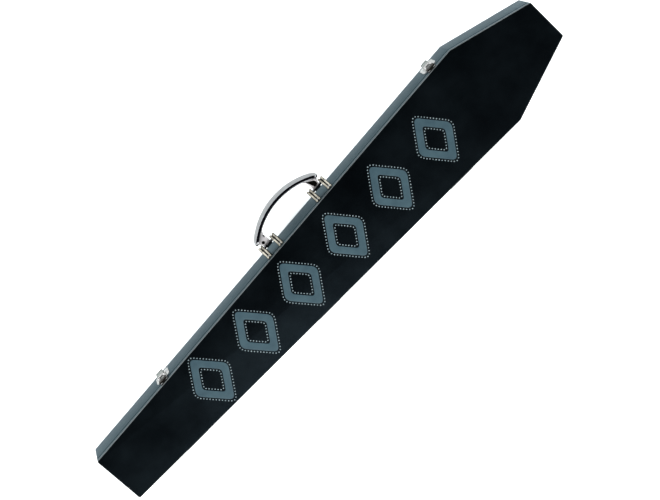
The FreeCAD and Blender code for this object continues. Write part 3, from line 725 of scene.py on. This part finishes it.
# %% Head trees
def head_tree(name, slotted):
    """Heads of one kind, set on points and turned to face one way."""
    tree, given = new_tree(name, Radius=1.0, Height=1.0, Facing=Vector(), Finish=steel)
    ball = add_node(tree, "GeometryNodeMeshUVSphere", {"Segments": 20, "Rings": 10, "Radius": 1.0})
    head = ball.outputs[0]
    if slotted:
        long, wide, deep = 1.25, 0.26, 0.9
        bars = [
            add_node(tree, "GeometryNodeMeshCube", {"Size": size})
            for size in ((long, wide, deep), (wide, long, deep))
        ]
        cross = add_node(tree, "GeometryNodeJoinGeometry")
        for bar in bars:
            tree.links.new(bar.outputs[0], cross.inputs[0])
        raised = add_node(
            tree, "GeometryNodeTransform", {"Translation": (0, 0, 1.05)}, {"Geometry": cross.outputs[0]}
        )
        cutting = add_node(tree, "GeometryNodeMeshBoolean", (), {"Mesh 1": head}, operation="DIFFERENCE")
        tree.links.new(raised.outputs[0], cutting.inputs["Mesh 2"])
        head = cutting.outputs[0]
    radius, height = given["Radius"], given["Height"]
    size = add_node(tree, "ShaderNodeCombineXYZ", (), {"X": radius, "Y": radius, "Z": height})
    facing = add_node(tree, "FunctionNodeAlignRotationToVector", (), {"Vector": given["Facing"]}, axis="Z")
    heads = add_node(tree, "GeometryNodeInstanceOnPoints", (), {
        "Points": given["Geometry"], "Instance": head,
        "Rotation": facing.outputs[0], "Scale": size.outputs[0],
    })
    finish_tree(tree, heads.outputs[0], given["Finish"])
    return tree


screw_tree = head_tree("cross_screw_heads", True)
rivet_tree = head_tree("domed_rivet_heads", False)


def heads(node, tree, side, out, radius, height, body):
    """Steel heads over a node's fasteners, at one distance out of a long wall."""
    name = node.rstrip("s") + "_heads"
    facing = Vector((outward.x, side * outward.y, 0))
    spots = []
    for patch in islands(node):
        flat = [Vector((p.x, side * p.y)) - foot_corner for p in patch]
        stations = [f.dot(along) for f in flat]
        level = (min(p.z for p in patch) + max(p.z for p in patch)) / 2
        spots.append(on_wall((min(stations) + max(stations)) / 2, out, level, side))
    mesh = bpy.data.meshes.new(name)
    mesh.from_pydata(spots, [], [])
    piece = run_tree(name, tree, mesh, Radius=radius, Height=height, Facing=facing, Finish=steel)
    settle(piece, body, "steel", node)
    print(name, len(spots))

# %% Set the heads
screw_size = (1.8 * MM, 0.8 * MM)
rivet_size = (2.3 * MM, 0.9 * MM)
heads("latch_screws", screw_tree, 1, 1.0 * MM, *screw_size, "case")
heads("strike_screws", screw_tree, 1, 0.8 * MM, *screw_size, "lid")
heads("hinge_base_screws", screw_tree, -1, 0.8 * MM, *screw_size, "case")
heads("hinge_lid_screws", screw_tree, -1, 0.8 * MM, *screw_size, "lid")
heads("handle_rivets", rivet_tree, 1, 1.5 * MM, *rivet_size, "case")

# %% [markdown]
# ## The handle
# The grip is a cast arch of flat bar, with crisp outer corners and full, round inner ones. Seen from
# above, its narrow side is a dark line between two bright ones, because the flat there mirrors the dark
# overhead while the corners mirror the bright surroundings. So the section is swept along the arc.

# %% Handle measures
grip_low, grip_high = wall_box("handle_grip")
grip_station = (grip_low[0] + grip_high[0]) / 2
grip_half = (grip_high[0] - grip_low[0]) / 2
grip_rise = grip_high[1]
grip_level = (grip_low[2] + grip_high[2]) / 2
grip_width = grip_high[2] - grip_low[2]
grip_radius = 103 * MM
grip_thick = 5.4 * MM
print("grip station", round(grip_station, 4), "half length", round(grip_half, 4), "rise", round(grip_rise, 4))


def on_handle(across, out, level):
    """A point by its distance from the handle's middle, out of the wall and above the handle's level."""
    return on_wall(grip_station + across, out, grip_level + level)

# %% Sweep the strap
strap_steps = 72
tip_run = 9 * MM
tip_width, tip_thick = 0.62, 0.5
strap_crown = 0.3 * MM


def strap_section(half_width, half_thick, steps=5):
    """A flat bar's section: a slightly crowned outer face, crisp outer corners and full inner ones."""
    outer_corner, inner_corner = half_thick * 0.18, half_thick * 0.55
    section = []
    for sign_w, sign_t, start in ((1, 1, 0), (-1, 1, 90), (-1, -1, 180), (1, -1, 270)):
        corner = outer_corner if sign_t > 0 else inner_corner
        for k in range(steps + 1):
            angle = math.radians(start + 90 * k / steps)
            w = sign_w * (half_width - corner) + corner * math.cos(angle)
            t = sign_t * (half_thick - corner) + corner * math.sin(angle)
            section.append((w, t))
        if (sign_w, sign_t) == (1, 1):
            section += [
                (half_width * f, half_thick + strap_crown * (1 - f * f)) for f in (0.6, 0.2, -0.2, -0.6)
            ]
    return section


strap_rings = []
sweep = math.asin(grip_half / grip_radius)
strap_middle = grip_radius - (grip_thick + strap_crown) / 2
arc_centre = grip_rise - grip_radius
for k in range(strap_steps + 1):
    angle = sweep * math.sin(math.pi / 2 * (2 * k / strap_steps - 1))
    to_end = (sweep - abs(angle)) * grip_radius
    ease = math.sqrt(max(0.0, 1 - (1 - min(1.0, to_end / tip_run)) ** 2))
    half_width = grip_width / 2 * (tip_width + (1 - tip_width) * ease)
    half_thick = (grip_thick - strap_crown) / 2 * (tip_thick + (1 - tip_thick) * ease)
    strap_rings.append([
        on_handle((strap_middle + t) * math.sin(angle), arc_centre + (strap_middle + t) * math.cos(angle), w)
        for w, t in strap_section(half_width, half_thick)
    ])
strap = shade(add_piece("handle_strap", flattened(strap_rings), loft(strap_rings), chrome), 50)
settle(strap, "handle", "chrome", "handle_grip")
print("strap faces", len(strap.data.polygons))

# %% [markdown]
# ### Legs of the grip
# Each leg is a casting that grows out of a round eye on the pin and runs up under the arch in a long
# point. It is lofted from rings, one above the other. Shaped pockets lighten its face: each is a block
# taken out with a Boolean, which also carries the near-black finish to the new faces, as painted shade in the
# pockets.

# %% Legs
lug_stations = [corner[0] for n in ("inner", "outer") for corner in wall_box(f"handle_lug_head_{n}")]
leg_middle = sum(lug_stations) / 4 - grip_station
pin_out = sum(corner[1] for corner in wall_box("head_handle_pin")) / 2
leg_drawn_at = 49.8 * MM
leg_half_depth = 8.0 * MM
eye_top = 10.9 * MM
leg_sunk_in = 0.9 * MM
leg_least = 0.9 * MM
print("leg middle", round(leg_middle, 4), "pin out", round(pin_out, 4))

# out of the wall, nearer side, farther side, half depth: all in millimetres
leg_sections = [
    (6.25, 45.2, 54.4, 0.9), (6.7, 44.9, 54.7, 1.9), (7.7, 44.8, 54.8, 2.8), (9.5, 44.8, 54.8, 3.25),
    (10.9, 44.8, 54.9, 3.5), (12.2, 44.8, 55.2, 5.2), (13.6, 44.6, 55.8, 6.8), (15.6, 44.4, 56.6, 7.7),
    (18.5, 44.5, 58.2, 8.0), (21.0, 44.6, 59.4, 8.0), (24.0, 44.3, 60.0, 8.0), (26.5, 43.4, 60.0, 8.0),
    (29.0, 41.4, 60.0, 8.0), (31.7, 38.6, 60.0, 7.6), (33.5, 35.9, 60.0, 7.0), (34.6, 33.8, 60.0, 6.2),
]


def rounded_oblong(low, high, half_depth, corner, steps=4):
    """A ring with rounded corners, as (across, level)."""
    middle, half = (low + high) / 2, (high - low) / 2
    corner = min(corner, half * 0.9, half_depth * 0.9)
    ring = []
    for sign_a, sign_b, start in ((1, 1, 0), (-1, 1, 90), (-1, -1, 180), (1, -1, 270)):
        for k in range(steps + 1):
            angle = math.radians(start + 90 * k / steps)
            a = middle + sign_a * (half - corner) + corner * math.cos(angle)
            ring.append((a, sign_b * (half_depth - corner) + corner * math.sin(angle)))
    return ring


def leg_piece(name, end):
    """One leg; end is 1 towards the head and -1 towards the foot."""
    rings = []
    for out, near, far, half_depth in leg_sections:
        out, near, half_depth = out * MM, near * MM, half_depth * MM
        under = math.sqrt((grip_radius - grip_thick + leg_sunk_in) ** 2 - (out - arc_centre) ** 2)
        far = max(min(far * MM, under), near + leg_least)
        shift = leg_middle - leg_drawn_at
        ring = rounded_oblong(near + shift, far + shift, half_depth, 1.5 * MM)
        rings.append([on_handle(end * a, out, level) for a, level in ring])
    leg = add_piece(name, flattened(rings), loft(rings), silver, chrome)
    for face in leg.data.polygons:
        out = (Vector((face.center.x, face.center.y)) - foot_corner).dot(outward)
        face.material_index = int(out < eye_top)
    return leg


def pocket(name, end, corners, depth):
    """A block over a leg's front face, to be taken out of it; corners are (across, out) in millimetres."""
    low, high = leg_half_depth - depth, leg_half_depth + 1 * MM
    points = [on_handle(end * a * MM, out * MM, level) for level in (low, high) for a, out in corners]
    # The block's near-black finish goes onto the pocket's faces: painted shade inside the pocket.
    return add_piece(name, points, loft([corners, corners]), painted_shade_black)


def take_out(piece, cutter):
    """The piece with the cutter's room taken out; the new faces keep the cutter's finish."""
    cut = piece.modifiers.new("pocket", "BOOLEAN")
    cut.operation, cut.solver, cut.object, cut.material_mode = "DIFFERENCE", "EXACT", cutter, "TRANSFER"
    applied(piece)
    bpy.data.objects.remove(cutter)
    return piece


def oval(across, out, half_across, half_out, count):
    """An oval's corners, in millimetres."""
    angles = [math.radians(360 / count * k) for k in range(count)]
    return [(across + half_across * math.cos(a), out + half_out * math.sin(a)) for a in angles]


round_hole = oval(52.6, 17.4, 2.3, 2.3, 16)
slot_hole = oval(45.7, 22.9, 0.75, 2.2, 12)
long_diamond = [
    (44.4, 27.2), (46.9, 19.4), (48.7, 12.9), (51.5, 12.9), (54.2, 13.9), (55.0, 17.0), (53.9, 20.6),
    (49.5, 23.9),
]
head_leg = take_out(leg_piece("handle_leg_head", 1), pocket("head_pocket", 1, long_diamond, 3.5 * MM))
foot_leg = take_out(leg_piece("handle_leg_foot", -1), pocket("foot_pocket", -1, round_hole, 3.5 * MM))
foot_leg = take_out(foot_leg, pocket("foot_slot", -1, slot_hole, 3.0 * MM))
for leg in (head_leg, foot_leg):
    shade(leg, 40)
    settle(leg, "handle", "chrome")
print("leg faces", len(head_leg.data.polygons), len(foot_leg.data.polygons))

# %% [markdown]
# ### Lugs and pins
# A lug is a casting with a long foot on the wall and a round post for the pin. A groove runs up its
# middle, so it looks like a folded strap. Its side view is drawn once, and it is lofted across its
# width: rings drawn in a little make the rounded sides and the groove, and both are painted near-black as
# shade.

# %% Lugs
lug_top = wall_box("handle_lug_head_inner")[1][1] - pin_out
lug_foot_half = 18.0 * MM
lug_foot_thick = 1.7 * MM
lug_foot_least = 0.25 * MM
lug_foot_bevel = 0.6 * MM


def lug_side_view(drawn_in=0.0, steps=14):
    """The lug's outline as (out, level), drawn in: a long foot, fair sides and a round top."""
    top_radius = lug_top - drawn_in
    foot_half = lug_foot_half - drawn_in
    foot_thick = max(lug_foot_thick - drawn_in, lug_foot_least)
    side_start = foot_half - lug_foot_bevel
    right = [(0.0, foot_half), (foot_thick * 0.7, foot_half), (foot_thick, side_start)]
    for k in range(1, 8):
        share = k / 8
        level = side_start + (top_radius - side_start) * share
        right.append((foot_thick + (pin_out - foot_thick) * (share ** 2.0), level))
    arc = []
    for k in range(steps + 1):
        angle = math.radians(90 - 180 * k / steps)
        arc.append((pin_out + top_radius * math.cos(angle), top_radius * math.sin(angle)))
    return right + arc + [(out, -level) for out, level in reversed(right)]


# share of the half width, drawn in by millimetres, and whether the band up to the next ring is painted
# near-black as shade
lug_sections = [
    (-1.0, 1.0, True), (-0.93, 0.35, True), (-0.84, 0.0, False), (-0.30, 0.0, False), (-0.25, 0.4, True),
    (-0.23, 1.7, True), (0.23, 1.7, True), (0.25, 0.4, False), (0.30, 0.0, False), (0.84, 0.0, True),
    (0.93, 0.35, True), (1.0, 1.0, True),
]
for label in ("foot_outer", "foot_inner", "head_inner", "head_outer"):
    low, high = wall_box(f"handle_lug_{label}")
    centre, half = (low[0] + high[0]) / 2, (high[0] - low[0]) / 2
    rings = [
        [
            on_wall(centre + share * half, out, grip_level + level)
            for out, level in lug_side_view(drawn_in * MM)
        ]
        for share, drawn_in, dark in lug_sections
    ]
    lug = add_piece(f"lug_{label}", flattened(rings), loft(rings), warm_silver, painted_shade_black)
    # Bands marked dark, in the groove and on the rounded sides, take the near-black finish: painted shade.
    for face in lug.data.polygons:
        place = (Vector((face.center.x, face.center.y)) - foot_corner).dot(along)
        share = (place - centre) / half
        passed = [dark for start, drawn_in, dark in lug_sections if start <= share + 1e-3]
        face.material_index = int(passed[-1] if passed else lug_sections[0][2])
    shade(lug, 50)
    settle(lug, "case", "nickel", f"handle_lug_{label}")
print("lug faces", len(lug.data.polygons))

for end in ("foot", "head"):
    rounded_copy(f"{end}_handle_pin", chrome, 0.5 * MM, "case", "chrome", 3)

# %% [markdown]
# ## The plush bed
# Inside lies a foam bed under short plush, with a long channel for the butt, one each side for the
# shafts, and a well for chalk. Cloth over foam has soft lips, so the bed is a height field: a fine
# grid whose height dips with a smooth step at each channel's edge. The sides and the back are closed.

# %% Bed measures
bed_low, bed_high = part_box("cue_bed")
bed_gap = 2.5 * MM
bed_ring = inset_outline(outline, rail_inside + bed_gap)
channel_end_wall, channel_length = 3.0 * MM, 739 * MM
channel_start = bed_low.x + channel_end_wall
channel_end = channel_start + channel_length
axis_level = 24.8 * MM
# for each channel: its middle and its radius, at the foot and at the head
channels = [
    ((0.0, 11.5 * MM), (0.0, 17.0 * MM)),
    ((22.0 * MM, 7.5 * MM), (36.0 * MM, 11.5 * MM)),
    ((-22.0 * MM, 7.5 * MM), (-36.0 * MM, 11.5 * MM)),
]
well_gap, well_length = 10 * MM, 46 * MM
well_start = channel_end + well_gap
well_end = well_start + well_length
well_half, well_floor = 25 * MM, 11.8 * MM
lip = 1.5 * MM
plush_thick = 0.4 * MM


def half_width_at(x, ring):
    """Half the width of an outline at a place along it."""
    upper = sorted((c for c in ring if c.y > 0), key=lambda c: c.x)
    for a, b in zip(upper, upper[1:]):
        if x <= b.x:
            return a.y + (b.y - a.y) * (x - a.x) / (b.x - a.x)
    return upper[-1].y


def soft_step(t):
    """0 below 0, 1 above 1 and smooth between."""
    t = min(1.0, max(0.0, t))
    return t * t * (3 - 2 * t)


def bed_height(x, y):
    """The plush surface's height at a point."""
    depth = 0.0
    share = min(1.0, max(0.0, (x - channel_start) / (channel_end - channel_start)))
    past = max(channel_start - x, x - channel_end, 0.0)
    for (foot_y, foot_r), (head_y, head_r) in channels:
        radius = foot_r + (head_r - foot_r) * share
        off = abs(y - (foot_y + (head_y - foot_y) * share))
        bowl = axis_level - math.sqrt(max(0.0, radius ** 2 - off ** 2))
        fade = 1 - soft_step(max(off - radius, past) / lip)
        depth = max(depth, (bed_high.z - bowl) * fade)
    gap = max(well_start - x, x - well_end, abs(y) - well_half)
    depth = max(depth, (bed_high.z - well_floor) * (1 - soft_step((gap + lip) / lip)))
    ripple = 0.25 * MM * noise.noise(Vector((x, y, 0)) * 60)
    return bed_high.z - depth - plush_thick + ripple


def grid_rim(columns, rows):
    """The numbers of the points round a grid's rim, in order."""
    width = rows + 1
    return [
        *(i * width for i in range(columns + 1)),
        *(columns * width + j for j in range(1, width)),
        *(i * width + rows for i in range(columns - 1, -1, -1)),
        *range(rows - 1, 0, -1),
    ]

# %% Bed mesh
bed_columns, bed_rows = 330, 96
rim_drop, rim_run = 1.6 * MM, 4 * MM
bed_points, bed_faces = [], []
for i in range(bed_columns + 1):
    x = bed_low.x + (bed_high.x - bed_low.x) * i / bed_columns
    half_width = half_width_at(x, bed_ring)
    for j in range(bed_rows + 1):
        y = half_width * (2 * j / bed_rows - 1)
        to_rim = min(x - bed_low.x, bed_high.x - x, half_width - abs(y))
        rim = rim_drop * (1 - soft_step(to_rim / rim_run))
        bed_points.append((x, y, bed_height(x, y) - rim))
width = bed_rows + 1
for i in range(bed_columns):
    for j in range(bed_rows):
        a = i * width + j
        bed_faces.append([a, a + width, a + width + 1, a + 1])
rim_ids = grid_rim(bed_columns, bed_rows)
below = len(bed_points)
bed_points += [(bed_points[i][0], bed_points[i][1], bed_low.z) for i in rim_ids]
for k, top in enumerate(rim_ids):
    m = (k + 1) % len(rim_ids)
    bed_faces.append([top, rim_ids[m], below + m, below + k])
bed_faces.append(list(range(below, len(bed_points))))
plush_bed = shade(add_piece("plush_bed", bed_points, bed_faces, plush), 70)
settle(plush_bed, "case", "plush", "cue_bed")
print("bed faces", len(bed_faces))

# %% [markdown]
# ### Lining and pad
# A band of plush lines the walls above the bed, and a thin padded panel lines the lid. The panel is
# really cloth over wadding, so it is made as a slack slab and blown up a little by a cloth simulation,
# held inside the room that the CAD pad has.

# %% Wall lining
def band(name, outer_inset, inner_inset, low, high, finish):
    """A closed strip round the inside of the walls."""
    rings = [inset_outline(outline, i) for i in (outer_inset, inner_inset, inner_inset, outer_inset)]
    levels = (low, low, high, high)
    count = len(outline)
    points = [(c.x, c.y, level) for ring, level in zip(rings, levels) for c in ring]
    return add_piece(name, points, joined(len(rings), count, closed=True), finish)


lining_outside, lining_inside = turned_in + 0.05 * MM, rail_inside + 1.6 * MM
lining_low, lining_high = 20 * MM, base_top - 5 * MM
wall_lining = band("wall_lining", lining_outside, lining_inside, lining_low, lining_high, plush)
lining_edge = wall_lining.modifiers.new("soft_edge", "BEVEL")
lining_edge.width = 0.45 * MM
lining_edge.segments = 3
shade(wall_lining, 60)
settle(wall_lining, "case", "lining")
print("lining from", round(lining_low, 4), "up to", round(lining_high, 4))

# %% Lid pad
pad_low, pad_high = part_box("lid_pad")
pad_ring = inset_outline(outline, turned_in + 0.4 * MM)
pad_columns, pad_rows = 130, 22
pad_start, pad_end = min(c.x for c in pad_ring), max(c.x for c in pad_ring)
pad_points, pad_faces = [], []
pad_back, pad_face = pad_high.z - 0.2 * MM, pad_low.z + 2.0 * MM
for level in (pad_back, pad_face):
    for i in range(pad_columns + 1):
        x = pad_start + (pad_end - pad_start) * i / pad_columns
        half_width = half_width_at(x, pad_ring)
        pad_points += [(x, half_width * (2 * j / pad_rows - 1), level) for j in range(pad_rows + 1)]
width, layer = pad_rows + 1, (pad_columns + 1) * (pad_rows + 1)
for i in range(pad_columns):
    for j in range(pad_rows):
        a = i * width + j
        pad_faces.append([a, a + 1, a + width + 1, a + width])
        pad_faces.append([layer + a, layer + a + width, layer + a + width + 1, layer + a + 1])
rim_ids = grid_rim(pad_columns, pad_rows)
for k, a in enumerate(rim_ids):
    b = rim_ids[(k + 1) % len(rim_ids)]
    pad_faces.append([a, b, layer + b, layer + a])
lid_panel = add_piece("lid_panel", pad_points, pad_faces, plush)

# %% Blow up the pad
def inflate(piece, low, high, frames=20):
    """Cloth pressure for a few frames, then no point outside low and high."""
    cloth = piece.modifiers.new("wadding", "CLOTH")
    cloth.settings.use_pressure = True
    cloth.settings.uniform_pressure_force = 4.0
    cloth.settings.effector_weights.gravity = 0.0
    cloth.settings.tension_stiffness = 12
    cloth.settings.quality = 6
    pinned = piece.vertex_groups.new(name="glued")
    pinned.add([v.index for v in piece.data.vertices if v.co.z > high - 0.5 * MM], 1.0, "REPLACE")
    cloth.settings.vertex_group_mass = "glued"
    for number in range(1, frames + 1):
        bpy.context.scene.frame_set(number)
    applied(piece)
    for vertex in piece.data.vertices:
        vertex.co.z = min(high, max(low, vertex.co.z))
    bpy.context.scene.frame_set(1)


inflate(lid_panel, pad_low.z, pad_high.z)
softened = lid_panel.modifiers.new("soft", "SUBSURF")
softened.levels = 1
softened.render_levels = 1
shade(lid_panel, 80)
settle(lid_panel, "lid", "lining", "lid_pad")
print("pad points", len(lid_panel.data.vertices))

# %% [markdown]
# ## Boards and plates that stay as they are
# The rails, boards and backing plates have the right shape already, and only need their finish.

# %% Finish the CAD boards
for name, node in nodes.items():
    if node.hide_render:
        continue
    finish = board if "rail" in name or "board" in name else steel
    for slot in node.material_slots:
        slot.material = finish
    print("kept", name, finish.name)

# %% [markdown]
# ## Floor and light
# The case lies on a plain pale floor. A mirror or a glossy skin looks right only with something to
# reflect, so the surroundings are bright low down and dark overhead: that keeps the front black,
# and puts a crisp dark line on the handle.

# %% Floor
def pale_floor():
    """A nearly white matt finish, a little uneven, lit from below like a light table."""
    finish, tree, shader, place = new_finish(
        "pale_floor", Roughness=0.9, Specular_IOR_Level=0.1,
        Emission_Color=(0.94, 1, 1, 1), Emission_Strength=0.80,
    )
    clouds = speckle(tree, place, 3.0)
    paint(tree, shader, shades(tree, clouds, (0.3, (0.90, 0.90, 0.90)), (0.7, (0.92, 0.92, 0.92))))
    return finish


floor_half = 20.0
floor_low, floor_top = -20 * MM, -0.3 * MM
floor_corners = ((-1, -1), (1, -1), (1, 1), (-1, 1))
floor_points = [
    (x * floor_half, y * floor_half, level) for level in (floor_low, floor_top) for x, y in floor_corners
]
floor_faces = [[3, 2, 1, 0], [4, 5, 6, 7], [0, 1, 5, 4], [1, 2, 6, 5], [2, 3, 7, 6], [3, 0, 4, 7]]
floor = add_piece("floor", floor_points, floor_faces, pale_floor())

# %% Surroundings
world = bpy.data.worlds.new("studio")
bpy.context.scene.world = world
world.use_nodes = True
sky = world.node_tree
direction = add_node(sky, "ShaderNodeTexCoord").outputs["Generated"]
height = add_node(sky, "ShaderNodeSeparateXYZ", (), {0: direction}).outputs["Z"]
glow = shades(
    sky, height, (0.0, (0.30, 0.30, 0.30)), (0.20, (0.42, 0.42, 0.42)), (0.36, (1.0, 1.0, 1.0)),
    (0.50, (0.80, 0.80, 0.80)), (0.68, (0.03, 0.03, 0.033)), (0.85, (0.002, 0.002, 0.003)),
)
backdrop = sky.nodes["Background"]
sky.links.new(glow, backdrop.inputs["Color"])
backdrop.inputs["Strength"].default_value = 5.0


def soft_light(name, place, target, size, power):
    """A square softbox that points at a target."""
    data = bpy.data.lights.new(name, "AREA")
    data.size = size
    data.energy = power
    lamp = bpy.data.objects.new(name, data)
    bpy.context.scene.collection.objects.link(lamp)
    lamp.location = place
    lamp.rotation_euler = (Vector(target) - Vector(place)).to_track_quat("-Z", "Y").to_euler()
    return lamp


soft_light("key_light", (-1.6, 2.2, 1.2), (0, 0, 0), 1.6, 24)
soft_light("fill_light", (2.4, -1.6, 1.1), (0, 0, 0), 1.8, 16)
soft_light("lid_light", (-0.25, -0.50, 0.60), (-0.1, 0, 0), 0.35, 1.6)
bpy.context.scene.view_settings.view_transform = "Standard"
